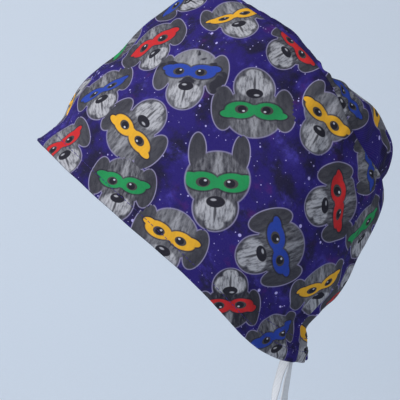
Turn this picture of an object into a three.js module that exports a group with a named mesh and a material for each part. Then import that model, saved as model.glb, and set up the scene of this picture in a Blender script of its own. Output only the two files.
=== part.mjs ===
// Surgical scrub cap in the form it takes on a head: a side panel that goes all the way round and is gathered
// at the nape, an oval crown panel sewn to its top, and two ribbon ties that hang out of the nape casing.
// Millimetres, +Z up. The wearer faces -X, and the XZ plane is the plane of symmetry.
// The origin is the middle of the head opening. The cap's own axes are along the rim (brow to nape),
// across it (+Y) and above it, and the whole cap is tilted as the rim drops from the brow to the nape.
import * as THREE from "three";
import { mergeVertices } from "three/addons/utils/BufferGeometryUtils.js";

// Driving sizes.
const RIM_TILT = THREE.MathUtils.degToRad(41); // how far the rim drops from the brow to the nape
const CLOTH = 1.2; // wall of the cotton, lining and seam turnings together
const SEAM_GAP = 0.3; // clear line between the side panel and the crown
const SEAM_TURNING = 2.4; // cloth that the crown turns in at its seam
const EGG = 0.1; // how much wider the cap is behind its middle than in front of it
const SIDE_SAG = 1.5; // how far the rim hangs over each ear
const NECK_SAG = 9; // how far it hangs behind each ear, beside the nape
const NECK_SAG_ANGLE = THREE.MathUtils.degToRad(47); // where that is lowest, from the middle of the back
const NECK_SAG_SPREAD = THREE.MathUtils.degToRad(26);
const GATHERS = 30; // folds that a full turn would hold, so one fold is 12 degrees wide
const GATHER_SPREAD = THREE.MathUtils.degToRad(38); // half of the gathered stretch at the nape

// How finely the cloth is faceted. Columns crowd towards the nape, where the gathers are.
const COLUMNS = 84;
const COLUMN_CROWDING = 0.58;
const SIDE_ROWS = 15;
const CROWN_RINGS = 6;

// The side panel, from its hem (height 0) to the crown seam (height 1). A row is one level of cloth: where it
// crosses the middle of the front and of the back (along the rim from the origin, and above the rim), half its
// width, and how deep the gathers are.
const SIDE_SECTIONS = [
  { height: 0.0, frontX: -114, frontZ: 0, backX: 128, backZ: 5.5, half: 77, gather: 2.5 },
  { height: 0.07, frontX: -112.2, frontZ: 11.5, backX: 123.5, backZ: 11, half: 77.5, gather: 2.2 },
  { height: 0.14, frontX: -111.8, frontZ: 22.5, backX: 118, backZ: 17.5, half: 78.5, gather: 1.7 },
  { height: 0.2, frontX: -114.2, frontZ: 32.5, backX: 113, backZ: 23.5, half: 79.5, gather: 1.3 },
  { height: 0.3, frontX: -115.5, frontZ: 49, backX: 114, backZ: 38, half: 81, gather: 1.3 },
  { height: 0.4, frontX: -112.5, frontZ: 65, backX: 116, backZ: 52, half: 82, gather: 0.8 },
  { height: 0.5, frontX: -108, frontZ: 81, backX: 113, backZ: 66, half: 82, gather: 0.3 },
  { height: 0.6, frontX: -106.5, frontZ: 98, backX: 108, backZ: 80, half: 80.5, gather: 0 },
  { height: 0.7, frontX: -104.5, frontZ: 114.5, backX: 105, backZ: 94, half: 78, gather: 0 },
  { height: 0.8, frontX: -101.5, frontZ: 131, backX: 101.5, backZ: 108, half: 74, gather: 0 },
  { height: 0.88, frontX: -95.5, frontZ: 143, backX: 97.5, backZ: 119, half: 70, gather: 0 },
  { height: 0.95, frontX: -87.5, frontZ: 154, backX: 92, backZ: 127, half: 66, gather: 0 },
  { height: 1.0, frontX: -79, frontZ: 161, backX: 88.5, backZ: 133, half: 62, gather: 0 },
];

// How far the crown puffs up above the plane of its seam, at places along the rim's direction.
// It dips between a flat front half and a high back half.
const CROWN_PUFF = [
  { along: -79, rise: 13 },
  { along: -45, rise: 15 },
  { along: -20, rise: 16 },
  { along: -6, rise: 14 },
  { along: 8, rise: 12.5 },
  { along: 24, rise: 20 },
  { along: 45, rise: 26 },
  { along: 65, rise: 28.5 },
  { along: 88.5, rise: 29 },
];

// How far the crown seam stands above the plane through its front and back ends, at each side of the cap.
const SEAM_RISE = [
  { along: -79, rise: 0 },
  { along: -30, rise: 7 },
  { along: 8, rise: 7.5 },
  { along: 26, rise: 4.5 },
  { along: 42, rise: 0 },
  { along: 66, rise: -3.5 },
  { along: 88.5, rise: 0 },
];
const CROWN_EDGE = { front: 2.4, side: 3, back: 8 }; // a higher number turns down more sharply at the seam

// The ribbon ties, which hang straight down from inside the nape casing to their cut ends. A row is a point on
// the middle of the ribbon: along +X, across +Y and down from the origin. Turn is the way its width faces.
const RIBBON = { width: 8, thickness: 1, steps: 14 };
const TIES = [
  {
    name: "tie_left",
    turn: THREE.MathUtils.degToRad(54),
    route: [
      { x: 92, y: -9, z: -60 },
      { x: 91.5, y: -9.5, z: -70 },
      { x: 90, y: -10, z: -82 },
      { x: 87.5, y: -10.5, z: -94 },
      { x: 85.5, y: -10.5, z: -106 },
      { x: 84.5, y: -10, z: -115 },
    ],
  },
  {
    name: "tie_right",
    turn: THREE.MathUtils.degToRad(122),
    route: [
      { x: 92, y: 8, z: -60 },
      { x: 91, y: 8.5, z: -70 },
      { x: 88, y: 9, z: -82 },
      { x: 84, y: 9, z: -94 },
      { x: 81, y: 8.5, z: -106 },
      { x: 79.5, y: 8, z: -115 },
    ],
  },
];

// The value of a column at a place in a table whose rows are in order, smooth from row to row.
function read(table, key, place, column) {
  const last = table.length - 1;
  let i = 0;
  while (i < last - 1 && place > table[i + 1][key]) i += 1;
  const slope = (j) => {
    const a = table[Math.max(j - 1, 0)];
    const b = table[Math.min(j + 1, last)];
    return (b[column] - a[column]) / (b[key] - a[key]);
  };
  const span = table[i + 1][key] - table[i][key];
  const u = THREE.MathUtils.clamp((place - table[i][key]) / span, 0, 1);
  const start = table[i][column];
  const end = table[i + 1][column];
  const bend = u * (1 - u) * span * ((1 - u) * slope(i) - u * slope(i + 1));
  return THREE.MathUtils.lerp(start, end, u * u * (3 - 2 * u)) + bend;
}

// A place in the cap's own axes (along the rim, across it, above it), turned to how the cap sits.
function placed(along, across, above) {
  const cos = Math.cos(RIM_TILT);
  const sin = Math.sin(RIM_TILT);
  return new THREE.Vector3(along * cos + above * sin, across, above * cos - along * sin);
}

// The angle of a column, from the middle of the back (0) round by +Y. Columns crowd at the back.
function columnAngle(column) {
  const turn = (2 * Math.PI * column) / COLUMNS;
  return turn - COLUMN_CROWDING * Math.sin(turn);
}

// A bump of height 1 that fades out to both sides of an angle.
function bump(angle, middle, spread) {
  return Math.exp(-(((angle - middle) / spread) ** 2));
}

// The outer face of the side panel at an angle and a height, in the cap's own axes.
function sidePlace(angle, height) {
  const at = (column) => read(SIDE_SECTIONS, "height", height, column);
  const turn = Math.atan2(Math.sin(angle), Math.cos(angle));
  const cos = Math.cos(angle);
  const sin = Math.sin(angle);
  const reach = (at("backX") - at("frontX")) / 2;
  const half = at("half");
  const fold = at("gather") * bump(turn, 0, GATHER_SPREAD) * Math.cos(GATHERS * angle);
  const length = Math.hypot(cos / reach, sin / half);
  const along = at("frontX") + reach + reach * cos;
  const neck = NECK_SAG * bump(Math.abs(turn), NECK_SAG_ANGLE, NECK_SAG_SPREAD);
  const sag = (SIDE_SAG * sin * sin + neck) * (1 - height) ** 3;
  const rise = read(SEAM_RISE, "along", along, "rise") * sin * sin * height ** 4;
  return {
    along: along + (fold * cos) / reach / length,
    across: half * sin * (1 + EGG * cos) + (fold * sin) / half / length,
    above: (at("frontZ") + at("backZ")) / 2 + ((at("backZ") - at("frontZ")) / 2) * cos + rise - sag,
  };
}

function sidePoint(angle, height) {
  const { along, across, above } = sidePlace(angle, height);
  return placed(along, across, above);
}

// The middle of the crown's seam, halfway between its front and back ends.
function seamMiddle() {
  const top = SIDE_SECTIONS[SIDE_SECTIONS.length - 1];
  return { along: (top.frontX + top.backX) / 2, above: (top.frontZ + top.backZ) / 2 };
}

// The outer face of the crown at an angle, from its middle (ring 0) to its seam (ring 1).
function crownPoint(angle, ring) {
  const seam = sidePlace(angle, 1);
  const middle = seamMiddle();
  const along = THREE.MathUtils.lerp(middle.along, seam.along, ring);
  const base = THREE.MathUtils.lerp(middle.above, seam.above, ring);
  const cos = Math.cos(angle);
  const end = cos > 0 ? CROWN_EDGE.back : CROWN_EDGE.front;
  const edge = THREE.MathUtils.lerp(CROWN_EDGE.side, end, cos * cos);
  const puff = read(CROWN_PUFF, "along", along, "rise") * (1 - ring ** edge);
  return placed(along, seam.across * ring, base + puff + SEAM_GAP);
}

// The direction out of a face given as a function of two numbers, by its slopes there.
function outward(face, u, v) {
  const step = 1e-3;
  const across = face(u + step, v).sub(face(u - step, v));
  const up = face(u, v + step).sub(face(u, v - step));
  return across.cross(up).normalize();
}

// A closed mesh from its vertices and the three numbers of each triangle.
function solid(points, triangles) {
  const geometry = new THREE.BufferGeometry().setFromPoints(points).setIndex(triangles.flat());
  return mergeVertices(geometry, 1e-4);
}

// The two triangles between two neighbouring rings, in the strip from one column to the next.
function strip(low, high, column, columns) {
  const next = (column + 1) % columns;
  return [
    [low + column, low + next, high + next],
    [low + column, high + next, high + column],
  ];
}

// A tube wall: rings up its outer face and back down its inner face, closed on themselves.
function sidePanelGeometry() {
  const heights = Array.from({ length: SIDE_ROWS }, (_, row) => row / (SIDE_ROWS - 1));
  const angles = Array.from({ length: COLUMNS }, (_, column) => columnAngle(column));
  const outer = heights.map((height) => angles.map((angle) => sidePoint(angle, height)));
  const inner = heights.map((height, row) =>
    angles.map((angle, column) =>
      outer[row][column].clone().addScaledVector(outward(sidePoint, angle, height), -CLOTH),
    ),
  );
  const rings = [...outer, ...inner.reverse()];
  const triangles = [];
  for (let ring = 0; ring < rings.length; ring += 1) {
    const above = (ring + 1) % rings.length;
    for (let column = 0; column < COLUMNS; column += 1)
      triangles.push(...strip(ring * COLUMNS, above * COLUMNS, column, COLUMNS));
  }
  return solid(rings.flat(), triangles);
}

// A shallow dome wall: a point at the top of the outer face, rings down to the seam, and back up inside.
function crownGeometry() {
  const angles = Array.from({ length: COLUMNS }, (_, column) => columnAngle(column));
  const rings = Array.from({ length: CROWN_RINGS }, (_, ring) => (ring + 1) / CROWN_RINGS);
  const outer = rings.map((ring) => angles.map((angle) => crownPoint(angle, ring)));
  const middle = crownPoint(0, 0);
  const down = placed(0, 0, -CLOTH);
  const centre = placed(seamMiddle().along, 0, seamMiddle().above);
  const inner = rings.map((ring, row) =>
    outer[row].map((point, column) => {
      if (ring < 1) return point.clone().addScaledVector(outward(crownPoint, angles[column], ring), CLOTH);
      return point.clone().addScaledVector(centre.clone().sub(point).normalize(), SEAM_TURNING);
    }),
  );
  const points = [middle, ...outer.flat(), ...inner.reverse().flat(), middle.clone().add(down)];
  const count = 2 * CROWN_RINGS;
  const triangles = [];
  for (let column = 0; column < COLUMNS; column += 1) {
    const next = (column + 1) % COLUMNS;
    triangles.push([0, 1 + column, 1 + next]);
    for (let ring = 0; ring < count - 1; ring += 1)
      triangles.push(...strip(1 + (ring + 1) * COLUMNS, 1 + ring * COLUMNS, column, COLUMNS));
    const lastRing = 1 + (count - 1) * COLUMNS;
    triangles.push([points.length - 1, lastRing + next, lastRing + column]);
  }
  return solid(points, triangles);
}

// A flat ribbon along a route, with square cut ends.
function ribbonGeometry(route, turn) {
  const line = new THREE.CatmullRomCurve3(route.map(({ x, y, z }) => new THREE.Vector3(x, y, z)));
  const width = new THREE.Vector3(Math.cos(turn), Math.sin(turn), 0).multiplyScalar(RIBBON.width / 2);
  const points = [];
  for (let step = 0; step <= RIBBON.steps; step += 1) {
    const place = line.getPoint(step / RIBBON.steps);
    const face = line.getTangent(step / RIBBON.steps).cross(width).setLength(RIBBON.thickness / 2);
    for (const [side, back] of [[1, 1], [-1, 1], [-1, -1], [1, -1]])
      points.push(place.clone().addScaledVector(width, side).addScaledVector(face, back));
  }
  const corners = 4;
  const last = RIBBON.steps * corners;
  const triangles = [[0, 2, 1], [0, 3, 2], [last, last + 1, last + 2], [last, last + 2, last + 3]];
  for (let step = 0; step < RIBBON.steps; step += 1)
    for (let corner = 0; corner < corners; corner += 1)
      triangles.push(...strip(step * corners, (step + 1) * corners, corner, corners));
  return solid(points, triangles);
}

// A named piece in its own plain finish.
function piece(name, geometry, color, roughness) {
  const material = new THREE.MeshStandardMaterial({ color, roughness, metalness: 0 });
  const mesh = new THREE.Mesh(geometry, material);
  mesh.name = name;
  return mesh;
}

const cap = new THREE.Group();
cap.add(piece("side_panel", sidePanelGeometry(), 0x2a1678, 0.9));
cap.add(piece("crown", crownGeometry(), 0x2a1678, 0.9));
for (const { name, turn, route } of TIES)
  cap.add(piece(name, ribbonGeometry(route, turn), 0xe8ecf2, 0.6));

export default cap;
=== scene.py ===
"""Surgical scrub cap in the form it takes on a head: a printed cotton side panel gathered at the nape, a printed
crown panel, seams and stitching, and two white ribbon ties, on a plain pale stage."""
import math

import bpy
import numpy as np
from bpy.props import FloatProperty, FloatVectorProperty, IntProperty, PointerProperty
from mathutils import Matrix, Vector


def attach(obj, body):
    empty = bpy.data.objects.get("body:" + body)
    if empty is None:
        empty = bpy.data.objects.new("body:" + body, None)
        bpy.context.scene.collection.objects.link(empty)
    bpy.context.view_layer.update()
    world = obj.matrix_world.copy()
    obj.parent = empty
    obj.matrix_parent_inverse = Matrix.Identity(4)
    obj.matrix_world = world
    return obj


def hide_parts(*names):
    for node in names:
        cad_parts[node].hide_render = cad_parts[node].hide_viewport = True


bl_info = {
    "name": "Scrub Cap",
    "version": (1, 0, 0),
    "blender": (4, 5, 0),
    "location": "View3D > Sidebar > Scrub Cap",
    "description": "Builds a printed surgical scrub cap with ribbon ties around its packed frame",
    "category": "Add Mesh",
}

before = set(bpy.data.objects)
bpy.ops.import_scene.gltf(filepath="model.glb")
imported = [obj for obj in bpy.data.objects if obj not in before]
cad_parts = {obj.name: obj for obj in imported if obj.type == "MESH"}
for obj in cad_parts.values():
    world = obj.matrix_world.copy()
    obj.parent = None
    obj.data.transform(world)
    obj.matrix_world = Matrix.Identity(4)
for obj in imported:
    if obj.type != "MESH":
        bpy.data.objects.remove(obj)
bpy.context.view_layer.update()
MM = 0.001
BODY = "root"
COTTON = "printed_cotton"
RIBBON = "tie_ribbon"

# The cap's own axes are along the rim (brow to nape), across it and above it, in millimetres. These are the
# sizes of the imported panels, which the fine cloth follows.
RIM_TILT = math.radians(41)
EGG = 0.1
SIDE_SAG = 1.5
NECK_SAG = 9
NECK_SAG_ANGLE = math.radians(47)
NECK_SAG_SPREAD = math.radians(26)
GATHERS = 30
GATHER_SPREAD = math.radians(38)
SECTION = ("height", "front_x", "front_z", "back_x", "back_z", "half", "gather")
SIDE_SECTIONS = [
    (0.00, -114.0, 0.0, 128.0, 5.5, 77.0, 2.5),
    (0.07, -112.2, 11.5, 123.5, 11.0, 77.5, 2.2),
    (0.14, -111.8, 22.5, 118.0, 17.5, 78.5, 1.7),
    (0.20, -114.2, 32.5, 113.0, 23.5, 79.5, 1.3),
    (0.30, -115.5, 49.0, 114.0, 38.0, 81.0, 1.3),
    (0.40, -112.5, 65.0, 116.0, 52.0, 82.0, 0.8),
    (0.50, -108.0, 81.0, 113.0, 66.0, 82.0, 0.3),
    (0.60, -106.5, 98.0, 108.0, 80.0, 80.5, 0.0),
    (0.70, -104.5, 114.5, 105.0, 94.0, 78.0, 0.0),
    (0.80, -101.5, 131.0, 101.5, 108.0, 74.0, 0.0),
    (0.88, -95.5, 143.0, 97.5, 119.0, 70.0, 0.0),
    (0.95, -87.5, 154.0, 92.0, 127.0, 66.0, 0.0),
    (1.00, -79.0, 161.0, 88.5, 133.0, 62.0, 0.0),
]
LIFT = ("along", "rise")
CROWN_PUFF = [
    (-79, 13), (-45, 15), (-20, 16), (-6, 14), (8, 12.5), (24, 20), (45, 26), (65, 28.5), (88.5, 29),
]
SEAM_RISE = [(-79, 0), (-30, 7), (8, 7.5), (26, 4.5), (42, 0), (66, -3.5), (88.5, 0)]
CROWN_EDGE = {"front": 2.4, "side": 3, "back": 8}

# The ties: points on the middle of each ribbon, in metres, from where it is sewn inside the nape, and the way its
# width faces.
TIE_ROUTES = {
    "tie_left": {
        "turn": math.radians(54),
        "route": [
            (0.0966, -0.0092, -0.055), (0.0942, -0.0092, -0.060), (0.0926, -0.0093, -0.065),
            (0.0915, -0.0095, -0.070), (0.0900, -0.0100, -0.082),
            (0.0875, -0.0105, -0.094), (0.0855, -0.0105, -0.106), (0.0845, -0.0100, -0.115),
        ],
    },
    "tie_right": {
        "turn": math.radians(122),
        "route": [
            (0.0990, 0.0075, -0.0545), (0.0960, 0.0078, -0.059), (0.0930, 0.0082, -0.064),
            (0.0910, 0.0085, -0.070), (0.0880, 0.0090, -0.082),
            (0.0840, 0.0090, -0.094), (0.0810, 0.0085, -0.106), (0.0795, 0.0080, -0.115),
        ],
    },
}


# ---------------------------------------------------------------- the cap's form


def read(table, names, column, at):
    """A column's value at each place in a table, smooth from row to row. The first column is the place."""
    places = np.array([row[0] for row in table], float)
    values = np.array([row[names.index(column)] for row in table], float)
    last = len(places) - 1
    low = np.maximum(np.arange(last + 1) - 1, 0)
    high = np.minimum(np.arange(last + 1) + 1, last)
    slopes = (values[high] - values[low]) / (places[high] - places[low])
    at = np.asarray(at, float)
    i = np.clip(np.searchsorted(places, at) - 1, 0, last - 1)
    span = places[i + 1] - places[i]
    u = np.clip((at - places[i]) / span, 0, 1)
    bend = u * (1 - u) * span * ((1 - u) * slopes[i] - u * slopes[i + 1])
    return values[i] + (values[i + 1] - values[i]) * u * u * (3 - 2 * u) + bend


def bump(x, middle, spread):
    """1 in the middle, fading out to both sides."""
    return np.exp(-(((x - middle) / spread) ** 2))


def ramp(x, low, high):
    """0 up to low, 1 from high on, smooth between."""
    u = np.clip((x - low) / (high - low), 0, 1)
    return u * u * (3 - 2 * u)


def signed(angle):
    """The angle from the middle of the back, from -pi to pi."""
    return np.arctan2(np.sin(angle), np.cos(angle))


def side_form(angle, height):
    """The side panel without its gathers, in the cap's own axes."""
    at = {name: read(SIDE_SECTIONS, SECTION, name, height) for name in SECTION[1:]}
    cos, sin = np.cos(angle), np.sin(angle)
    reach = (at["back_x"] - at["front_x"]) / 2
    along = at["front_x"] + reach + reach * cos
    neck = NECK_SAG * bump(np.abs(signed(angle)), NECK_SAG_ANGLE, NECK_SAG_SPREAD)
    sag = (SIDE_SAG * sin * sin + neck) * (1 - height) ** 3
    rise = read(SEAM_RISE, LIFT, "rise", along) * sin * sin * height**4
    middle, swing = (at["front_z"] + at["back_z"]) / 2, (at["back_z"] - at["front_z"]) / 2
    above = middle + swing * cos + rise - sag
    return np.stack([along, at["half"] * sin * (1 + EGG * cos), above], -1)


def crown_form(angle, ring):
    """The crown, from its middle (ring 0) to its seam (ring 1), in the cap's own axes."""
    seam = side_form(angle, np.ones_like(ring))
    front, back = SIDE_SECTIONS[-1][1:3], SIDE_SECTIONS[-1][3:5]
    middle = np.array([(front[0] + back[0]) / 2, 0, (front[1] + back[1]) / 2])
    place = middle + (seam - middle) * ring[..., None]
    cos = np.cos(angle)
    end = np.where(cos > 0, CROWN_EDGE["back"], CROWN_EDGE["front"])
    edge = CROWN_EDGE["side"] + (end - CROWN_EDGE["side"]) * cos * cos
    place[..., 2] += read(CROWN_PUFF, LIFT, "rise", place[..., 0]) * (1 - ring**edge)
    return place


def placed(points):
    """Points in the cap's own axes, in millimetres, turned to how it sits, in metres."""
    cos, sin = math.cos(RIM_TILT), math.sin(RIM_TILT)
    along, across, above = points[..., 0], points[..., 1], points[..., 2]
    return np.stack([along * cos + above * sin, across, above * cos - along * sin], -1) * MM


# ---------------------------------------------------------------- folds in the cloth


def rumple(x, y, size, seed):
    """Soft random swells about one size across, in millimetres, the same each time for a seed."""
    dice = np.random.default_rng(seed)
    total = np.zeros(np.broadcast(x, y).shape)
    for _ in range(22):
        way, length, phase = dice.uniform(0, math.tau), size * dice.uniform(0.7, 1.6), dice.uniform(0, math.tau)
        total += np.sin((x * math.cos(way) + y * math.sin(way)) * math.tau / length + phase)
    return total / math.sqrt(22 / 2)


def crease(x, y, start, end, width, lift):
    """A straight fold between two points on the cloth, fading at its ends."""
    (ax, ay), (bx, by) = start, end
    run = math.hypot(bx - ax, by - ay)
    ux, uy = (bx - ax) / run, (by - ay) / run
    along, off = (x - ax) * ux + (y - ay) * uy, (x - ax) * uy - (y - ay) * ux
    fade = ramp(along, -width, run * 0.3) * (1 - ramp(along, run * 0.7, run + width))
    return lift * fade * (bump(off, 0, width) - 0.55 * bump(off, width * 1.7, width))


# The shallow hollow above the brow: its place up the panel, and its depth in millimetres.
BROW_DENT = {"height": 0.78, "depth": 2.8}
# Folds on the side panel: where each starts and ends as (degrees round, height), its width and lift in millimetres.
SIDE_CREASES = [
    ((-168, 0.52), (-140, 0.55), 5, -1.8), ((-176, 0.40), (-150, 0.44), 6, 1.1), ((-84, 0.97), (-80, 0.66), 7, 1.6),
    ((-70, 0.93), (-60, 0.55), 6, -1.4), ((-55, 0.95), (-46, 0.60), 6, 1.6), ((-40, 0.96), (-35, 0.52), 7, 1.8),
    ((-26, 0.95), (-22, 0.45), 6, -1.6), ((-12, 0.97), (-10, 0.40), 6, 1.6), ((-34, 0.04), (-44, 0.34), 4, 2.2),
    ((-24, 0.03), (-31, 0.42), 4, -2.0), ((-15, 0.04), (-17, 0.38), 4, 2.4), ((-48, 0.04), (-66, 0.22), 5, 1.5),
    ((-6, 0.03), (-7, 0.30), 4, -1.6), ((6, 0.03), (8, 0.33), 4, 2.0), ((15, 0.04), (18, 0.40), 4, -2.0),
    ((24, 0.03), (30, 0.36), 4, 2.2), ((36, 0.03), (45, 0.34), 5, 2.0), ((50, 0.04), (68, 0.20), 5, 1.4),
    ((10, 0.96), (9, 0.50), 6, 1.6), ((28, 0.95), (24, 0.48), 6, -1.5), ((44, 0.96), (40, 0.58), 6, 1.7),
    ((66, 0.94), (58, 0.60), 7, -1.5), ((86, 0.96), (82, 0.66), 7, 1.5), ((170, 0.48), (142, 0.50), 6, -1.4),
    ((-118, 0.10), (-100, 0.30), 8, 0.9), ((-128, 0.86), (-110, 0.70), 7, 0.9), ((122, 0.80), (104, 0.66), 7, 1.0),
]
# The side panel laid flat, in millimetres: for each radian round, and from the rim to the seam.
ROUND = 108.0
UP = 165.0
# Half the crown laid flat, in millimetres.
CROWN_HALF = {"along": 84, "across": 62}


def side_folds(angle, height):
    """How far the side panel's cloth stands out from its plain form, in millimetres."""
    s, up = signed(angle) * ROUND, height * UP
    wrap_x, wrap_y = ROUND * np.cos(angle), ROUND * np.sin(angle)
    low, high = 1 - ramp(height, 0.0, 0.5), ramp(height, 0.45, 0.95)
    out = 1.3 * rumple(wrap_x, wrap_y + up * 0.7, 95, 3)
    out += (0.35 + 0.35 * high) * rumple(wrap_x * 1.6, wrap_y * 1.6 + up * 0.35, 42, 8)
    for start, end, width, lift in SIDE_CREASES:
        ends = [(math.radians(a) * ROUND, h * UP) for a, h in (start, end)]
        out += crease(s, up, ends[0], ends[1], width, lift)
    pucker = np.sin(s * math.tau / 12.5 + 1.7 * rumple(wrap_x, wrap_y, 60, 5))
    close = 1 - height
    out *= ramp(close, 0, 0.1)
    out -= BROW_DENT["depth"] * bump(np.abs(signed(angle)), math.pi, 0.45) * bump(height, BROW_DENT["height"], 0.09)
    deep = 0.35 + 0.65 * bump(signed(angle), 0, 1.2)
    out += deep * pucker * ramp(close, 0.008, 0.04) * (1 - ramp(close, 0.05, 0.16))
    out -= 1.3 * (1 - ramp(close, 0.0, 0.014))
    out -= 0.9 * bump(s, 0, 1.6) + 0.4 * bump(s, 0, 5) * np.sin(up * math.tau / 14)
    hem = cap().hem / MM
    out += 0.45 * (1 - ramp(up, hem - 0.7, hem + 0.7)) - 0.45 * bump(up, hem - 1.5, 0.8)
    out += 0.25 * np.sin(s * math.tau / 9 + 2 * rumple(wrap_x, wrap_y, 70, 12)) * bump(up, hem, 7) * low
    return out * ramp(height + 0.02, 0, 0.04)


def side_gathers(angle, height):
    """The draw-in at the nape: how far each small fold stands in or out, in millimetres."""
    gather = read(SIDE_SECTIONS, SECTION, "gather", height)
    uneven = 0.75 + 0.35 * rumple(angle * 40, height * 20, 30, 21)
    slip = 0.9 * rumple(ROUND * np.cos(angle), ROUND * np.sin(angle), 55, 9)
    return gather * bump(signed(angle), 0, GATHER_SPREAD) * np.cos(GATHERS * angle + slip) * uneven


def crown_folds(angle, ring):
    """How far the crown's cloth stands out from its plain form, in millimetres."""
    x, y = CROWN_HALF["along"] * ring * np.cos(angle), CROWN_HALF["across"] * ring * np.sin(angle)
    round_x, round_y = 75 * np.cos(angle), 75 * np.sin(angle)
    out = 1.1 * rumple(x, y, 60, 31) * (1 - ramp(ring, 0.8, 1))
    out += 0.35 * rumple(x, y, 26, 32) * (1 - ramp(ring, 0.85, 1))
    pucker = np.sin(angle * 75 * math.tau / 11.5 + 1.7 * rumple(round_x, round_y, 50, 33))
    pucker *= 1 - bump(np.abs(signed(angle)), math.pi, 0.25)
    out += 0.75 * pucker * ramp(1 - ring, 0.012, 0.05) * (1 - ramp(1 - ring, 0.07, 0.26))
    for start, end, width, lift in CROWN_CREASES:
        out += crease(x, y, start, end, width, lift) * (1 - ramp(ring, 0.8, 1))
    out -= CROWN_SLACK["drop"] * bump(x, CROWN_SLACK["along"], CROWN_SLACK["spread"]) * (1 - ramp(ring, 0.8, 1))
    return out - 1.3 * (1 - ramp(1 - ring, 0.0, 0.03))


# Where the front of the crown lies slack, in millimetres.
CROWN_SLACK = {"along": -23, "spread": 26, "drop": 3.2}
# Folds on the crown, as (along, across) from its middle, then width and lift, in millimetres.
CROWN_CREASES = [
    ((6, -58), (2, -18), 7, -2.2), ((10, 56), (4, 16), 7, -1.8), ((30, -46), (58, -12), 6, 1.2),
    ((-62, -20), (-30, -8), 8, 1.0), ((40, 42), (62, 8), 6, -1.1), ((-40, 40), (-12, 26), 8, 1.0),
]


# ---------------------------------------------------------------- making meshes


def facing(grid, closed=True):
    """The way out of a grid of points at each point. Columns run round, rows run up."""
    if closed:
        across = np.roll(grid, -1, 1) - np.roll(grid, 1, 1)
    else:
        across = np.gradient(grid, axis=1)
    up = np.gradient(grid, axis=0)
    out = np.cross(across, up)
    return out / np.maximum(np.linalg.norm(out, axis=-1, keepdims=True), 1e-12)


def stand_out(grid, folds):
    """The grid moved along the way it faces by the folds, in millimetres."""
    return grid + facing(grid) * folds[..., None] * MM


def mesh_piece(name, points, faces, materials, slots=None, smooth=True):
    """A mesh object from points in metres and faces, with its materials and the slot that each face takes."""
    mesh = bpy.data.meshes.new(name)
    mesh.from_pydata([tuple(p) for p in points], [], [tuple(int(i) for i in f) for f in faces])
    for material in materials:
        mesh.materials.append(material)
    if slots is not None:
        mesh.polygons.foreach_set("material_index", np.asarray(slots, np.int32))
    mesh.polygons.foreach_set("use_smooth", np.full(len(mesh.polygons), smooth))
    mesh.update()
    piece = bpy.data.objects.new(name, mesh)
    bpy.context.scene.collection.objects.link(piece)
    return piece


def fit_frame(piece, slot, *nodes):
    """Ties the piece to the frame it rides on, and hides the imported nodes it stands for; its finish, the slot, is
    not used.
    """
    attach(piece, BODY)
    if nodes:
        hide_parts(*nodes)
    return piece


# ---------------------------------------------------------------- the print

# The printed dog faces: (degrees round, height, turn in degrees, size in mm, ears, coat, spots, band).
# Ears go from 0, hanging, to 1, upright. Coat goes from 0, pale, to 1, near black.
FACE_BREADTH = 1.2
BANDS = ["blue", "red", "yellow", "green"]
SIDE_FACES = [
    (-122, 0.61, -8, 51, 0, 0.3, 1.0, "blue"), (-147, 0.33, 25, 50, 0.2, 0.6, 0, "blue"),
    (-150, 0.61, 28, 50, 0, 0.6, 0, "red"), (-121, 0.31, 135, 52, 0, 0.5, 0.3, "yellow"),
    (-144, 0.05, 35, 46, 0, 0.5, 0, "red"), (-114, 0.10, -15, 48, 0.1, 0.6, 0, "green"),
    (-97, 0.70, 178, 53, 0, 0.5, 0.3, "green"), (-89, 0.37, -4, 58, 1, 0.6, 0, "green"),
    (-92, 0.07, -25, 50, 0, 0.45, 0.3, "yellow"), (-62, 0.36, -75, 52, 0, 0.6, 0, "blue"),
    (-74, 0.88, -35, 50, 0.5, 0.4, 0, "yellow"), (-51, 0.69, -80, 52, 0, 0.6, 0, "red"),
    (-22, 0.72, 35, 50, 0.3, 0.55, 0, "green"), (-33, 0.38, 20, 48, 0, 0.5, 0.3, "yellow"),
    (-65, 0.07, 180, 46, 0.2, 0.85, 0, "red"), (-40, 0.08, 20, 44, 0, 0.6, 0, "blue"),
    (-132, 0.92, 20, 48, 0.2, 0.5, 0, "yellow"), (-166, 0.84, 70, 44, 0, 0.75, 0, "blue"),
    (-174, 0.22, 150, 44, 0.6, 0.5, 0, "yellow"), (180, 0.55, -70, 44, 0, 0.65, 0.4, "green"),
    (-104, 0.97, -60, 42, 0.2, 0.65, 0, "red"), (-40, 0.98, 100, 44, 0.4, 0.5, 0, "blue"),
    (-8, 0.44, 200, 46, 0, 0.6, 0, "red"), (-12, 0.12, -30, 42, 0.2, 0.05, 0, "yellow"),
    (2, 0.95, -60, 44, 0, 0.4, 0.8, "yellow"),
]
CROWN_FACES = [
    (-104, 0.36, -60, 48, 0.2, 0.6, 0, "red"), (-38, 0.62, -70, 50, 0.9, 0.45, 0, "yellow"),
    (-158, 0.55, 40, 50, 0, 0.5, 0.4, "blue"), (158, 0.66, -95, 46, 0.5, 0.6, 0, "green"),
    (62, 0.60, 170, 48, 0, 0.6, 0, "green"), (112, 0.66, 20, 48, 0, 0.45, 0.6, "yellow"),
    (8, 0.66, 75, 48, 0, 0.5, 0, "red"), (-72, 0.92, 10, 42, 0, 0.6, 0, "blue"),
]


def far_side_faces():
    """The print's repeat as it falls on the other side: the same faces, turned, in the next colour."""
    turned = []
    for angle, height, turn, size, ears, coat, spots, band in SIDE_FACES:
        if -170 < angle < -8:
            following = BANDS[(BANDS.index(band) + 1) % 4]
            turned.append((-angle + 4, height, 40 - turn, size, ears, coat, spots, following))
    return turned


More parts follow.
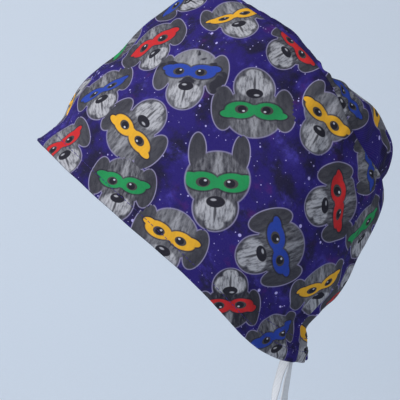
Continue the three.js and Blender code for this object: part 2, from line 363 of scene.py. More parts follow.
def chart_faces(chart, form):
    """Where each printed face lies on the plain cloth: its middle, its right and up, its half size and its look."""
    step, laid = 0.01, []
    for angle, height, turn, size, *look in chart:
        a, h = math.radians(angle), height
        angles, heights = np.array([a, a + step, a, a]), np.array([h, h, min(h + step, 1), max(h - step, 0)])
        middle, aside, above, below = placed(form(angles, heights))
        out = unit(np.cross(aside - middle, above - below))
        if form is crown_form:
            out, top = -out, np.array([0.0, 1.0, 0.0])
        else:
            top = np.array([0.0, 0.0, 1.0])
        up = unit(top - out * (top @ out))
        right = np.cross(up, out)
        cos, sin = math.cos(math.radians(turn)), math.sin(math.radians(turn))
        axes = np.stack([(right * cos + up * sin) / FACE_BREADTH, up * cos - right * sin])
        laid.append((middle, axes, size * MM / 2, look))
    return laid


def unit(vector):
    """The vector at length 1."""
    return vector / np.linalg.norm(vector)


def off_face(place, ears):
    """Roughly how far each place is outside a printed face, and less than 0 inside it."""
    ovals = [FACE_OVALS["head"], FACE_OVALS["jaw"], UPRIGHT_EAR if ears > 0.5 else HANGING_EAR]
    x, y = np.abs(place[:, 0]), place[:, 1]
    off = [(np.hypot((x - c[0]) / size[0], (y - c[1]) / size[1]) - 1) * min(size[:2]) for c, size in ovals]
    return np.min(off, axis=0)


def print_cloth(piece, plain, flat, chart, round_trip=0):
    """Gives each face of the mesh its nearest printed dog face, and each corner its place on it and on the cloth."""
    mesh = piece.data
    count = len(mesh.loops)
    corners = np.empty(count, np.int32)
    mesh.loops.foreach_get("vertex_index", corners)
    starts, sizes = np.empty(len(mesh.polygons), np.int32), np.empty(len(mesh.polygons), np.int32)
    mesh.polygons.foreach_get("loop_start", starts)
    mesh.polygons.foreach_get("loop_total", sizes)
    owners = np.repeat(np.arange(len(sizes)), sizes)
    middles = np.add.reduceat(plain[corners], starts, axis=0) / sizes[:, None]
    far = []
    for middle, axes, half, look in chart:
        away = np.abs((middles - middle) @ unit(np.cross(axes[0], axes[1]))) / half
        off = off_face((middles - middle) @ axes.T / half, look[0])
        far.append((off + 3 * np.maximum(away - 0.45, 0)) * half)
    nearest = np.argmin(far, axis=0)
    axes = np.stack([f[1] for f in chart])[nearest]
    offset = plain[corners] - np.stack([f[0] for f in chart])[nearest][owners]
    half = np.array([f[2] for f in chart])[nearest][owners]
    place = np.einsum("nij,nj->ni", axes[owners], offset) / half[:, None]
    uv = mesh.uv_layers.new(name="printed_face")
    uv.data.foreach_set("uv", place.astype(np.float32).ravel())
    uv = mesh.uv_layers.new(name="cloth")
    on_cloth = flat[corners].copy()
    if round_trip:
        farthest = np.maximum.reduceat(on_cloth[:, 0], starts)[owners]
        on_cloth[farthest - on_cloth[:, 0] > round_trip / 2, 0] += round_trip
    uv.data.foreach_set("uv", on_cloth.astype(np.float32).ravel())
    looks = [f[3] for f in chart]
    kinds = mesh.attributes.new("face_kind", "FLOAT_VECTOR", "FACE")
    kinds.data.foreach_set("vector", np.array([look[:3] for look in looks], np.float32)[nearest].ravel())
    bands = mesh.attributes.new("face_band", "FLOAT_COLOR", "FACE")
    colours = np.array([[*getattr(cap(), look[3] + "_band"), 1] for look in looks], np.float32)
    bands.data.foreach_set("color", colours[nearest].ravel())


# ---------------------------------------------------------------- cloth and ribbon materials


def node(tree, kind, inputs=None, **settings):
    """A node with its settings, and each input linked or set."""
    made = tree.nodes.new(kind)
    for name, value in settings.items():
        setattr(made, name, value)
    for name, value in (inputs or {}).items():
        if isinstance(value, bpy.types.NodeSocket):
            tree.links.new(value, made.inputs[name])
        else:
            made.inputs[name].default_value = value
    return made


def number(tree, operation, *values):
    """The result of a sum on numbers."""
    return node(tree, "ShaderNodeMath", dict(enumerate(values)), operation=operation).outputs[0]


def vector(tree, operation, *values, result=0):
    """The result of a sum on vectors."""
    return node(tree, "ShaderNodeVectorMath", dict(enumerate(values)), operation=operation).outputs[result]


def step_up(tree, value, low, high, bottom=0.0, top=1.0):
    """The value brought from between low and high to between bottom and top, smoothly."""
    inputs = {"Value": value, "From Min": low, "From Max": high, "To Min": bottom, "To Max": top}
    return node(tree, "ShaderNodeMapRange", inputs, interpolation_type="SMOOTHSTEP").outputs["Result"]


def mixed(tree, share, first, second):
    """The first colour turning to the second by the share."""
    made = node(tree, "ShaderNodeMix", data_type="RGBA")
    for socket, value in ((made.inputs[0], share), (made.inputs[6], first), (made.inputs[7], second)):
        if isinstance(value, bpy.types.NodeSocket):
            tree.links.new(value, socket)
        elif socket == made.inputs[0]:
            socket.default_value = value
        else:
            socket.default_value = (*tuple(value)[:3], 1)
    return made.outputs[2]


def mixed_place(tree, share, first, second):
    """The first vector turning to the second by the share."""
    made = node(tree, "ShaderNodeMix", data_type="VECTOR")
    tree.links.new(share, made.inputs[0])
    made.inputs[4].default_value, made.inputs[5].default_value = first, second
    return made.outputs[1]


def noise(tree, place, scale, detail=2.0, rough=0.5):
    """A noise value, from 0 to 1, with features about 1 / scale across."""
    inputs = {"Vector": place, "Scale": scale, "Detail": detail, "Roughness": rough}
    return node(tree, "ShaderNodeTexNoise", inputs).outputs[0]


def effect(name, takes, gives):
    """An empty node group with named inputs and outputs: (tree, input sockets, output node)."""
    tree = bpy.data.node_groups.new(name, "ShaderNodeTree")
    for label, kind, default in takes:
        socket = tree.interface.new_socket(label, in_out="INPUT", socket_type="NodeSocket" + kind)
        if default is not None:
            socket.default_value = default
    for label, kind in gives:
        tree.interface.new_socket(label, in_out="OUTPUT", socket_type="NodeSocket" + kind)
    return tree, tree.nodes.new("NodeGroupInput").outputs, tree.nodes.new("NodeGroupOutput")


def use(tree, name, inputs):
    """Places a node group in a tree."""
    made = tree.nodes.new("ShaderNodeGroup")
    made.node_tree = bpy.data.node_groups[name]
    for label, value in inputs.items():
        if isinstance(value, bpy.types.NodeSocket):
            tree.links.new(value, made.inputs[label])
        else:
            made.inputs[label].default_value = value
    return made.outputs


def make_print_oval():
    """The mask of one printed oval."""
    takes = [("Place", "Vector", None), ("Centre", "Vector", (0, 0, 0)), ("Size", "Vector", (1, 1, 1))]
    takes += [("Grow", "Float", 0.0), ("Soft", "Float", 0.07)]
    tree, given, out = effect("Print Oval", takes, [("Mask", "Float")])
    grown = node(tree, "ShaderNodeCombineXYZ", {0: given["Grow"], 1: given["Grow"]}).outputs[0]
    size = vector(tree, "ADD", given["Size"], grown)
    from_middle = vector(tree, "SUBTRACT", given["Place"], given["Centre"])
    far = vector(tree, "LENGTH", vector(tree, "DIVIDE", from_middle, size), result="Value")
    outside, inside = number(tree, "ADD", 1.0, given["Soft"]), number(tree, "SUBTRACT", 1.0, given["Soft"])
    tree.links.new(number(tree, "SUBTRACT", 1.0, step_up(tree, far, inside, outside)), out.inputs["Mask"])


# The parts of a printed dog face, on a face 2 units high: (middle, half size).
FACE_OVALS = {
    "head": ((0, 0.17, 0), (0.57, 0.6, 1)),
    "jaw": ((0, -0.42, 0), (0.4, 0.5, 1)),
    "blaze": ((0, 0.46, 0), (0.07, 0.34, 1)),
    "muzzle": ((0.13, -0.47, 0), (0.22, 0.24, 1)),
    "chin": ((0, -0.76, 0), (0.17, 0.13, 1)),
    "mouth": ((0, -0.53, 0), (0.025, 0.2, 1)),
    "nose": ((0, -0.3, 0), (0.17, 0.12, 1)),
    "shine": ((-0.04, -0.26, 0), (0.05, 0.025, 1)),
    "band": ((0.27, 0.12, 0), (0.3, 0.2, 1)),
    "bridge": ((0, 0.1, 0), (0.25, 0.11, 1)),
    "tip": ((0.5, 0.21, 0), (0.16, 0.09, 1)),
    "eye": ((0.25, 0.1, 0), (0.13, 0.105, 1)),
    "pupil": ((0.24, 0.1, 0), (0.085, 0.085, 1)),
    "glint": ((0.21, 0.14, 0), (0.026, 0.022, 1)),
}
HANGING_EAR, UPRIGHT_EAR = ((0.6, 0.08, 0), (0.22, 0.52, 1)), ((0.39, 0.74, 0), (0.15, 0.4, 1))


def make_dog_face():
    """A printed dog face with a coloured eye band: its colour, and the mask that it covers."""
    takes = [("Place", "Vector", None), ("Kind", "Vector", (0, 0.5, 0)), ("Band", "Color", (1, 0, 0, 1))]
    takes += [("Outline", "Color", (0.6, 0.55, 0.8, 1))]
    tree, given, out = effect("Dog Face", takes, [("Color", "Color"), ("Mask", "Float")])
    axes = node(tree, "ShaderNodeSeparateXYZ", {0: given["Place"]}).outputs
    halved = node(tree, "ShaderNodeCombineXYZ", {0: number(tree, "ABSOLUTE", axes[0]), 1: axes[1]}).outputs[0]
    ears, coat, spots = node(tree, "ShaderNodeSeparateXYZ", {0: given["Kind"]}).outputs
    ear_middle = mixed_place(tree, ears, HANGING_EAR[0], UPRIGHT_EAR[0])
    ear_size = mixed_place(tree, ears, HANGING_EAR[1], UPRIGHT_EAR[1])

    def oval(name, place=halved, grow=0.0, soft=0.07):
        """The mask of one part of the face."""
        centre, size = FACE_OVALS[name] if name != "ear" else (ear_middle, ear_size)
        inputs = {"Place": place, "Centre": centre, "Size": size, "Grow": grow, "Soft": soft}
        return use(tree, "Print Oval", inputs)["Mask"]

    def several(names, **how):
        """The mask of several parts together."""
        mask = oval(names[0], **how)
        for name in names[1:]:
            mask = number(tree, "MAXIMUM", mask, oval(name, **how))
        return mask

    streaks = node(tree, "ShaderNodeMapping", {"Vector": given["Place"], "Scale": (15, 4, 1)}).outputs[0]
    fur = noise(tree, streaks, 1.0, 4, 0.65)
    mottle = noise(tree, given["Place"], 2.2, 2, 0.5)
    tone = number(tree, "ADD", coat, number(tree, "MULTIPLY", number(tree, "SUBTRACT", fur, 0.5), 1.5))
    colour = mixed(tree, step_up(tree, tone, 0.1, 0.95), (0.24, 0.24, 0.26), (0.01, 0.01, 0.014))
    rounding = oval("head", soft=0.5)
    shaded = number(tree, "MULTIPLY", number(tree, "SUBTRACT", 1.0, rounding), 0.55)
    colour = mixed(tree, shaded, colour, (0.02, 0.02, 0.03))
    only_ear = number(tree, "MULTIPLY", oval("ear"), number(tree, "SUBTRACT", 1.0, oval("head", grow=-0.06)))
    colour = mixed(tree, number(tree, "MULTIPLY", only_ear, 0.72), colour, (0.03, 0.03, 0.035))
    spotted = number(tree, "MULTIPLY", step_up(tree, mottle, 0.55, 0.6), spots)
    colour = mixed(tree, spotted, colour, (0.015, 0.015, 0.02))
    pale = mixed(tree, step_up(tree, fur, 0.4, 0.72), (0.42, 0.42, 0.45), (0.08, 0.08, 0.09))
    light = number(tree, "MULTIPLY", oval("blaze", soft=0.4), 0.5)
    colour = mixed(tree, number(tree, "MAXIMUM", light, several(["muzzle", "chin"], soft=0.14)), colour, pale)
    colour = mixed(tree, number(tree, "MULTIPLY", oval("mouth", soft=0.35), 0.8), colour, (0.01, 0.01, 0.012))
    colour = mixed(tree, oval("nose"), colour, (0.006, 0.006, 0.008))
    colour = mixed(tree, oval("shine", place=given["Place"], soft=0.4), colour, (0.35, 0.35, 0.38))
    shadowed = number(tree, "MULTIPLY", several(["band", "tip"], grow=0.035), 0.8)
    colour = mixed(tree, shadowed, colour, (0.01, 0.01, 0.015))
    dyed = mixed(tree, number(tree, "MULTIPLY", fur, 0.35), given["Band"], (0.02, 0.02, 0.03))
    colour = mixed(tree, several(["band", "bridge", "tip"]), colour, dyed)
    colour = mixed(tree, oval("eye"), colour, (0.05, 0.045, 0.04))
    colour = mixed(tree, oval("pupil"), colour, (0.004, 0.004, 0.006))
    colour = mixed(tree, oval("glint", soft=0.3), colour, (0.5, 0.5, 0.55))
    colour = mixed(tree, several(["head", "jaw", "ear"], soft=0.04), given["Outline"], colour)
    tree.links.new(colour, out.inputs["Color"])
    tree.links.new(several(["head", "jaw", "ear"], grow=0.02, soft=0.025), out.inputs["Mask"])


def make_night_sky():
    """The print's ground: a deep violet sky with soft clouds and stars."""
    takes = [("Place", "Vector", None), ("Deep", "Color", None), ("Ground", "Color", None), ("Cloud", "Color", None)]
    takes += [("Haze", "Color", None), ("Star", "Color", None)]
    tree, given, out = effect("Night Sky", takes, [("Color", "Color")])
    millimetres = vector(tree, "MULTIPLY", given["Place"], (1000, 1000, 1000))
    ground = step_up(tree, noise(tree, millimetres, 0.045, 4, 0.6), 0.36, 0.56)
    colour = mixed(tree, ground, given["Deep"], given["Ground"])
    shifted = vector(tree, "ADD", millimetres, (57, 31, 0))
    haze = step_up(tree, noise(tree, shifted, 0.05, 4, 0.6), 0.56, 0.74, 0, 0.8)
    colour = mixed(tree, haze, colour, given["Haze"])
    shifted = vector(tree, "ADD", millimetres, (211, 83, 0))
    cloud = step_up(tree, noise(tree, shifted, 0.06, 6, 0.68), 0.52, 0.8)
    colour = mixed(tree, cloud, colour, given["Cloud"])
    for cells, largest in ((0.085, 0.1), (0.21, 0.09)):
        inputs = {"Vector": millimetres, "Scale": cells}
        star = node(tree, "ShaderNodeTexVoronoi", inputs, voronoi_dimensions="2D").outputs
        red = node(tree, "ShaderNodeSeparateColor", {0: star["Color"]}).outputs[0]
        reach = number(tree, "MULTIPLY", number(tree, "POWER", red, 3.0), largest)
        near = number(tree, "SUBTRACT", reach, star["Distance"])
        colour = mixed(tree, step_up(tree, near, -0.012, 0.02), colour, given["Star"])
    tree.links.new(colour, out.inputs["Color"])


def make_woven_threads():
    """The height of a plain weave, from 0 to 1, with threads that wander a little."""
    takes = [("Place", "Vector", None), ("Thread", "Float", 0.45), ("Slub", "Float", 0.5)]
    tree, given, out = effect("Woven Threads", takes, [("Height", "Float")])
    millimetres = vector(tree, "MULTIPLY", given["Place"], (1000, 1000, 1000))
    slubs = noise(tree, millimetres, 0.9, 3, 0.6)
    turns = number(tree, "DIVIDE", math.pi, given["Thread"])
    axes = node(tree, "ShaderNodeSeparateXYZ", {0: millimetres}).outputs
    waves = [number(tree, "SINE", number(tree, "MULTIPLY", axis, turns)) for axis in axes[:2]]
    weave = number(tree, "MULTIPLY_ADD", number(tree, "MULTIPLY", *waves), 0.5, 0.5)
    height = number(tree, "MULTIPLY_ADD", slubs, given["Slub"], weave)
    tree.links.new(height, out.inputs["Height"])


def finish_material(name, surface):
    """A material whose nodes surface(tree) makes; it gives the Principled BSDF's inputs by name."""
    material = bpy.data.materials.new(name)
    material.use_nodes = True
    tree = material.node_tree
    shader = tree.nodes["Principled BSDF"]
    for label, value in surface(tree).items():
        if isinstance(value, bpy.types.NodeSocket):
            tree.links.new(value, shader.inputs[label])
        else:
            shader.inputs[label].default_value = value
    return material


def raised(tree, height, strength, distance):
    """The normal of a surface with that height."""
    inputs = {"Height": height, "Strength": strength, "Distance": distance}
    return node(tree, "ShaderNodeBump", inputs).outputs["Normal"]


def printed(tree):
    """The print's colour, and where the cloth is."""
    look = cap()
    cloth = node(tree, "ShaderNodeUVMap", uv_map="cloth").outputs[0]
    place = node(tree, "ShaderNodeUVMap", uv_map="printed_face").outputs[0]
    kind = node(tree, "ShaderNodeAttribute", attribute_name="face_kind").outputs["Vector"]
    band = node(tree, "ShaderNodeAttribute", attribute_name="face_band").outputs["Color"]
    face = use(tree, "Dog Face", {"Place": place, "Kind": kind, "Band": band, "Outline": (*look.outline, 1)})
    tones = {"Deep": look.deep, "Ground": look.ground, "Cloud": look.cloud, "Haze": look.haze, "Star": look.star}
    sky = use(tree, "Night Sky", {"Place": cloth, **{label: (*tone, 1) for label, tone in tones.items()}})
    return mixed(tree, face["Mask"], sky["Color"], face["Color"]), cloth


def print_side(tree):
    """The printed side of the cotton."""
    colour, cloth = printed(tree)
    weave = use(tree, "Woven Threads", {"Place": cloth, "Thread": 0.42, "Slub": 0.6})["Height"]
    # Painted highlight: the raised thread crests of the weave are mixed towards a pale lilac, as if lit.
    colour = mixed(tree, step_up(tree, weave, 0.2, 1.3, 0.0, 0.07), colour, (0.4, 0.38, 0.55))
    return {
        "Base Color": colour, "Roughness": step_up(tree, weave, 0.0, 1.4, 0.95, 0.78),
        "Normal": raised(tree, weave, 0.5, 0.00025), "Specular IOR Level": 0.1,
    }


def wrong_side(tree):
    """The wrong side of the cotton, pale, with the print coming through."""
    colour, cloth = printed(tree)
    weave = use(tree, "Woven Threads", {"Place": cloth, "Thread": 0.42, "Slub": 0.6})["Height"]
    through = mixed(tree, step_up(tree, weave, 0.2, 1.3, 0.22, 0.42), cap().wrong_side, colour)
    return {
        "Base Color": through, "Roughness": step_up(tree, weave, 0.0, 1.4, 0.98, 0.82),
        "Normal": raised(tree, weave, 0.5, 0.00025), "Sheen Weight": 0.1, "Specular IOR Level": 0.2,
    }


def thread_surface(tree):
    """Twisted sewing thread."""
    place = node(tree, "ShaderNodeTexCoord").outputs["Object"]
    twist = node(tree, "ShaderNodeTexWave", {"Vector": place, "Scale": 900.0, "Distortion": 2.0}).outputs[1]
    tone = cap().thread
    # Painted shade and highlight: the thread's colour goes darker in the twist's grooves and lighter on its ridges.
    return {
        "Base Color": mixed(tree, twist, tuple(c * 0.55 for c in tone), tuple(c * 1.3 for c in tone)),
        "Roughness": step_up(tree, twist, 0.0, 1.0, 0.7, 0.5), "Normal": raised(tree, twist, 0.6, 0.0001),
    }


def ribbon_surface(tree):
    """White woven ribbon with fine ribs across it and a plain edge."""
    place = node(tree, "ShaderNodeUVMap", uv_map="cloth").outputs[0]
    axes = node(tree, "ShaderNodeSeparateXYZ", {0: place}).outputs
    ribs = number(tree, "SINE", number(tree, "MULTIPLY", axes[1], math.tau / 0.0009))
    off = number(tree, "ABSOLUTE", axes[0])
    edge = step_up(tree, off, 0.0030, 0.0036)
    ribs, plain = number(tree, "MULTIPLY_ADD", ribs, 0.5, 0.5), number(tree, "SUBTRACT", 1.0, edge)
    height = number(tree, "MULTIPLY", ribs, plain)
    weave = use(tree, "Woven Threads", {"Place": place, "Thread": 0.3, "Slub": 0.8})["Height"]
    height = number(tree, "ADD", height, number(tree, "MULTIPLY", weave, 0.35))
    tone = cap().ribbon
    # Painted shade: the ribbon is darker where its ribs and weave are low, in the grooves and along the plain edge.
    colour = mixed(tree, step_up(tree, height, 0.1, 1.4), tuple(c * 0.72 for c in tone), tone)
    return {
        "Base Color": colour, "Roughness": step_up(tree, height, 0.1, 1.4, 0.8, 0.55),
        "Normal": raised(tree, height, 0.55, 0.0003), "Sheen Weight": 0.2,
    }


def stage_surface(tree):
    """Pale matte paper."""
    place = node(tree, "ShaderNodeTexCoord").outputs["Object"]
    grain = noise(tree, place, 260.0, 3, 0.6)
    tone = bpy.context.scene.cap_stage.backdrop
    return {
        "Base Color": mixed(tree, grain, tuple(c * 0.97 for c in tone), tuple(c * 1.02 for c in tone)),
        "Roughness": step_up(tree, grain, 0.0, 1.0, 0.9, 0.8), "Normal": raised(tree, grain, 0.1, 0.0004),
    }


def material(name):
    """One of the cap's materials, made when first asked for."""
    surfaces = {
        "printed_cotton_right_side": print_side, "printed_cotton_wrong_side": wrong_side,
        "sewing_thread": thread_surface, "white_ribbon": ribbon_surface, "backdrop_paper": stage_surface,
    }
    groups = {
        "Print Oval": make_print_oval, "Dog Face": make_dog_face, "Night Sky": make_night_sky,
        "Woven Threads": make_woven_threads,
    }
    for label, make in groups.items():
        if label not in bpy.data.node_groups:
            make()
    return bpy.data.materials.get(name) or finish_material(name, surfaces[name])


# ---------------------------------------------------------------- the cap's sizes and colours


def shade(red, green, blue):
    """A colour on a 0 to 255 scale as Blender's linear colour."""
    return tuple(c / 255 / 12.92 if c <= 10 else ((c / 255 + 0.055) / 1.055) ** 2.4 for c in (red, green, blue))


def length_setting(name, description, default):
    """A setting that is a length."""
    return FloatProperty(name=name, description=description, default=default, min=0.0, unit="LENGTH")


def colour_setting(name, description, default):
    """A setting that is a colour."""
    return FloatVectorProperty(name=name, description=description, default=default, subtype="COLOR", min=0, max=1)


class ScrubCapSettings(bpy.types.PropertyGroup):
    """Sizes and colours of the cap."""

    cloth: length_setting("Cloth", "Thickness of the cotton panels", 0.0011)
    hem: length_setting("Hem", "Height of the hem turned up inside the rim", 0.013)
    stitch: length_setting("Stitch", "Length of one hem stitch with its gap", 0.0030)
    columns: IntProperty(name="Columns", description="Mesh columns round the side panel", default=440, min=60)
    rows: IntProperty(name="Rows", description="Mesh rows up the side panel", default=92, min=20)
    crown_columns: IntProperty(name="Crown columns", description="Mesh columns round the crown", default=380, min=60)
    crown_rings: IntProperty(name="Crown rings", description="Mesh rings across the crown", default=64, min=12)
    deep: colour_setting("Deep", "Darkest part of the print's ground", shade(9, 3, 44))
    ground: colour_setting("Ground", "Main colour of the print's ground", shade(26, 9, 100))
    cloud: colour_setting("Cloud", "Pale clouds in the ground", shade(72, 62, 168))
    haze: colour_setting("Haze", "Warm haze in the ground", shade(70, 12, 100))
    star: colour_setting("Star", "Stars in the ground", shade(172, 164, 222))
    outline: colour_setting("Outline", "Line round each dog face", shade(140, 134, 168))
    blue_band: colour_setting("Blue band", "Eye band of some dog faces", shade(22, 62, 165))
    red_band: colour_setting("Red band", "Eye band of some dog faces", shade(205, 24, 14))
    yellow_band: colour_setting("Yellow band", "Eye band of some dog faces", shade(240, 178, 18))
    green_band: colour_setting("Green band", "Eye band of some dog faces", shade(8, 148, 76))
    wrong_side: colour_setting("Wrong side", "Wrong side of the cotton", shade(196, 192, 216))
    thread: colour_setting("Thread", "Sewing thread", shade(48, 30, 120))
    ribbon: colour_setting("Ribbon", "Tie ribbon", shade(236, 238, 242))


class RibbonTieSettings(bpy.types.PropertyGroup):
    """Sizes of the ribbon ties."""

    width: length_setting("Width", "Width of the ribbon", 0.008)
    thickness: length_setting("Thickness", "Thickness of the ribbon", 0.0006)
    cup: length_setting("Cup", "How far the ribbon curls across its width", 0.0007)


class CapStageSettings(bpy.types.PropertyGroup):
    """Backdrop, light and camera."""

    backdrop: colour_setting("Backdrop", "Pale paper behind and below the cap", shade(232, 240, 250))
    sky: colour_setting("Room light", "Colour of the light all round", shade(222, 230, 240))
    room: FloatProperty(name="Room", description="Strength of the light all round", default=0.42, min=0)
    key: FloatProperty(name="Window", description="Power of the large soft light", default=34, min=0, unit="POWER")
    fill: FloatProperty(name="Fill", description="Power of the weak light opposite", default=3, min=0, unit="POWER")
    distance: length_setting("Distance", "From the camera to the cap's middle", 0.65)
    field: length_setting("Field", "Width of the view at the cap's middle", 0.28)


def cap():
    """The cap's settings."""
    return bpy.context.scene.scrub_cap


# ---------------------------------------------------------------- the pieces


def band_faces(index_rows):
    """Quads between each row of point numbers and the next, round a closed band, and the row of each."""
    faces, strips = [], []
    for strip, (low, high) in enumerate(zip(index_rows, index_rows[1:])):
        faces.append(np.stack([low, np.roll(low, -1), np.roll(high, -1), high], -1))
        strips.append(np.full(len(low), strip))
    return np.concatenate(faces), np.concatenate(strips)


def numbered(grid, first=0):
    """The point numbers of each row of a grid."""
    rows, columns = grid.shape[:2]
    return list(np.arange(rows * columns).reshape(rows, columns) + first)


def side_grid(columns, heights):
    """Angles and heights of the side panel's points, closer together at the nape."""
    turn = np.linspace(0, math.tau, columns, endpoint=False)
    return np.meshgrid(turn - 0.42 * np.sin(turn), heights)


def side_cloth(angle, height):
    """The outside of the side panel with its folds, in metres."""
    return stand_out(placed(side_form(angle, height)), side_folds(angle, height) + side_gathers(angle, height))


def build_side_panel():
    """The side panel: a closed shell of cloth with its hem, printed outside and pale inside."""
    look = cap()
    t = np.linspace(0, 1, look.rows)
    angle, height = side_grid(look.columns, t - 0.085 * np.sin(math.tau * t))
    plain = placed(side_form(angle, height))
    outer = side_cloth(angle, height)
    out = facing(outer)
    hem_rows = height * UP * MM < look.hem
    thick = look.cloth * np.where(hem_rows, 1.9, 1.0)
    inner = outer - out * thick[..., None]
    rim = (outer[:1] + inner[:1]) / 2 - facing_up(outer)[:1] * look.cloth * 0.8
    points = np.concatenate([g.reshape(-1, 3) for g in (outer, inner, rim)])
    count = outer[..., 0].size
    outer_rows, inner_rows = numbered(outer), numbered(inner, count)
    rows = outer_rows + inner_rows[::-1] + numbered(rim, 2 * count) + outer_rows[:1]
    faces, strips = band_faces(rows)
    last = look.rows
    hem_from = 2 * last - 1 - int(hem_rows[:, 0].sum())
    slots = ((strips >= last) & (strips < hem_from)).astype(np.int32)
    materials = [material("printed_cotton_right_side"), material("printed_cotton_wrong_side")]
    piece = mesh_piece("side_panel_cloth", points, faces, materials, slots)
    flat = np.stack([np.mod(angle, math.tau) * ROUND * MM, height * UP * MM], -1)
    plains = np.concatenate([g.reshape(-1, 3) for g in (plain, plain, plain[:1])])
    flats = np.concatenate([g.reshape(-1, 2) for g in (flat, flat, flat[:1])])
    chart = chart_faces(SIDE_FACES + far_side_faces(), side_form)
    print_cloth(piece, plains, flats, chart, math.tau * ROUND * MM)
    return fit_frame(piece, COTTON, "side_panel")


def facing_up(grid):
    """The way from each row of a grid to the next, at length 1."""
    up = np.gradient(grid, axis=0)
    return up / np.maximum(np.linalg.norm(up, axis=-1, keepdims=True), 1e-12)


def build_crown():
    """The crown: a closed shell of cloth whose edge turns in below its seam."""
    look = cap()
    turn = np.linspace(0, math.tau, look.crown_columns, endpoint=False)
    t = np.linspace(0, 1, look.crown_rings)[:-1]
    angle, ring = np.meshgrid(turn, 1 - t + 0.1 * np.sin(math.tau * t) * (1 - t))
    form = crown_form(angle, ring)
    form[..., 2] += 0.3
    plain = placed(form)
    outer = stand_out(plain, crown_folds(angle, ring))
    inner = outer - facing(outer) * look.cloth
    turned_angle, turned_height = np.meshgrid(turn, [0.957, 0.972, 0.988])
    wall = side_cloth(turned_angle, turned_height)
    inward = facing(wall)
    wave = 0.3 * rumple(turned_angle * 60, turned_height * 100, 14, 51)[..., None] * [[[1]], [[0.5]], [[0]]]
    turned = wall - inward * (look.cloth + (0.6 + np.abs(wave)) * MM)
    outer = np.concatenate([turned, outer])
    inner = np.concatenate([turned - inward * look.cloth * 0.8, inner])
    plain = np.concatenate([placed(side_form(turned_angle, turned_height)), plain])
    ring = np.concatenate([2 - turned_height, ring])
    angle = np.concatenate([turned_angle, angle])
    middles = [g[-1].mean(0, keepdims=True) for g in (outer, inner)]
    points = np.concatenate([outer.reshape(-1, 3), inner.reshape(-1, 3), *middles])
    count = outer[..., 0].size
    outer_rows, inner_rows = numbered(outer), numbered(inner, count)
    shell, _ = band_faces(inner_rows[:1] + outer_rows)
    lining, _ = band_faces(inner_rows[::-1])
    fans = []
    for edge, centre in ((outer_rows[-1], 2 * count), (inner_rows[-1][::-1], 2 * count + 1)):
        fans += [(a, b, centre) for a, b in zip(edge, np.roll(edge, -1))]
    faces = [*shell, *lining, *fans]
    inside = [0] * len(shell) + [1] * len(lining) + [0] * len(turn) + [1] * len(turn)
    materials = [material("printed_cotton_right_side"), material("printed_cotton_wrong_side")]
    piece = mesh_piece("crown_cloth", points, faces, materials, inside)
    flat = np.stack([np.cos(angle) * CROWN_HALF["along"], np.sin(angle) * CROWN_HALF["across"]], -1)
    flat = flat * ring[..., None] * MM
    plain_middle = plain[-1].mean(0, keepdims=True).repeat(2, 0)
    plains = np.concatenate([plain.reshape(-1, 3), plain.reshape(-1, 3), plain_middle])
    flats = np.concatenate([flat.reshape(-1, 2), flat.reshape(-1, 2), np.zeros((2, 2))])
    print_cloth(piece, plains, flats, chart_faces(CROWN_FACES, crown_form))
    return fit_frame(piece, COTTON, "crown")


def stitch_run(line, out, spacing, closed=True):
    """Small rounded stitches along a line of points on the cloth: points and faces."""
    after = np.roll(line, -1, 0) if closed else line[1:]
    lengths = np.linalg.norm(after - line[: len(after)], axis=1)
    far = np.concatenate([[0], np.cumsum(lengths)])
    whole = np.concatenate([line, line[:1]]) if closed else line
    outs = np.concatenate([out, out[:1]]) if closed else out
    points, faces = [], []
    shares = np.array([-0.5, -0.42, -0.2, 0.2, 0.42, 0.5]) * 0.78
    girth = np.array([0.25, 0.8, 1.0, 1.0, 0.8, 0.25])
    lift = np.array([-0.3, 0.25, 0.6, 0.6, 0.25, -0.3])
    for middle in np.arange(spacing / 2, far[-1] - spacing / 2, spacing):
        places = middle + shares * spacing
        at = np.stack([np.interp(places, far, whole[:, k]) for k in range(3)], -1)
        up = unit(np.stack([np.interp(middle, far, outs[:, k]) for k in range(3)], -1))
        run = unit(at[-1] - at[0])
        side = np.cross(up, run)
        first = len(points) * 36
        around = np.arange(6) * math.tau / 6
        ring = np.cos(around)[:, None] * side + np.sin(around)[:, None] * up
        at = at + up * (lift * 0.00022)[:, None]
        points.append((at[:, None] + ring[None] * (girth * 0.00021)[:, None, None]).reshape(-1, 3))
        for r in range(5):
            low, high = first + r * 6, first + (r + 1) * 6
            faces += [(low + c, low + (c + 1) % 6, high + (c + 1) % 6, high + c) for c in range(6)]
        faces += [tuple(first + c for c in range(5, -1, -1)), tuple(first + 30 + c for c in range(6))]
    return np.concatenate(points), faces


def build_stitching():
    """The hem's stitches, outside and inside, and the casing's row across the nape."""
    look = cap()
    runs = []
    for up, reach in ((look.hem / MM - 1.5, math.pi), (23.0, math.radians(52))):
        angle, height = side_grid(900, np.array([up - 1, up, up + 1]) / UP)
        wall = side_cloth(angle, height)
        line, out = wall[1], facing(wall)[1]
        if reach < math.pi:
            order = np.argsort(signed(angle[1]))
            kept = order[np.abs(signed(angle[1][order])) < reach]
            runs.append(stitch_run(line[kept], out[kept], look.stitch, closed=False))
        else:
            runs.append(stitch_run(line, out, look.stitch))
            runs.append(stitch_run(line - out * look.cloth * 1.9, -out, look.stitch))
    points, faces, first = [], [], 0
    for run_points, run_faces in runs:
        points.append(run_points)
        faces += [tuple(first + i for i in face) for face in run_faces]
        first += len(run_points)
    piece = mesh_piece("hem_stitching", np.concatenate(points), faces, [material("sewing_thread")])
    return fit_frame(piece, COTTON)


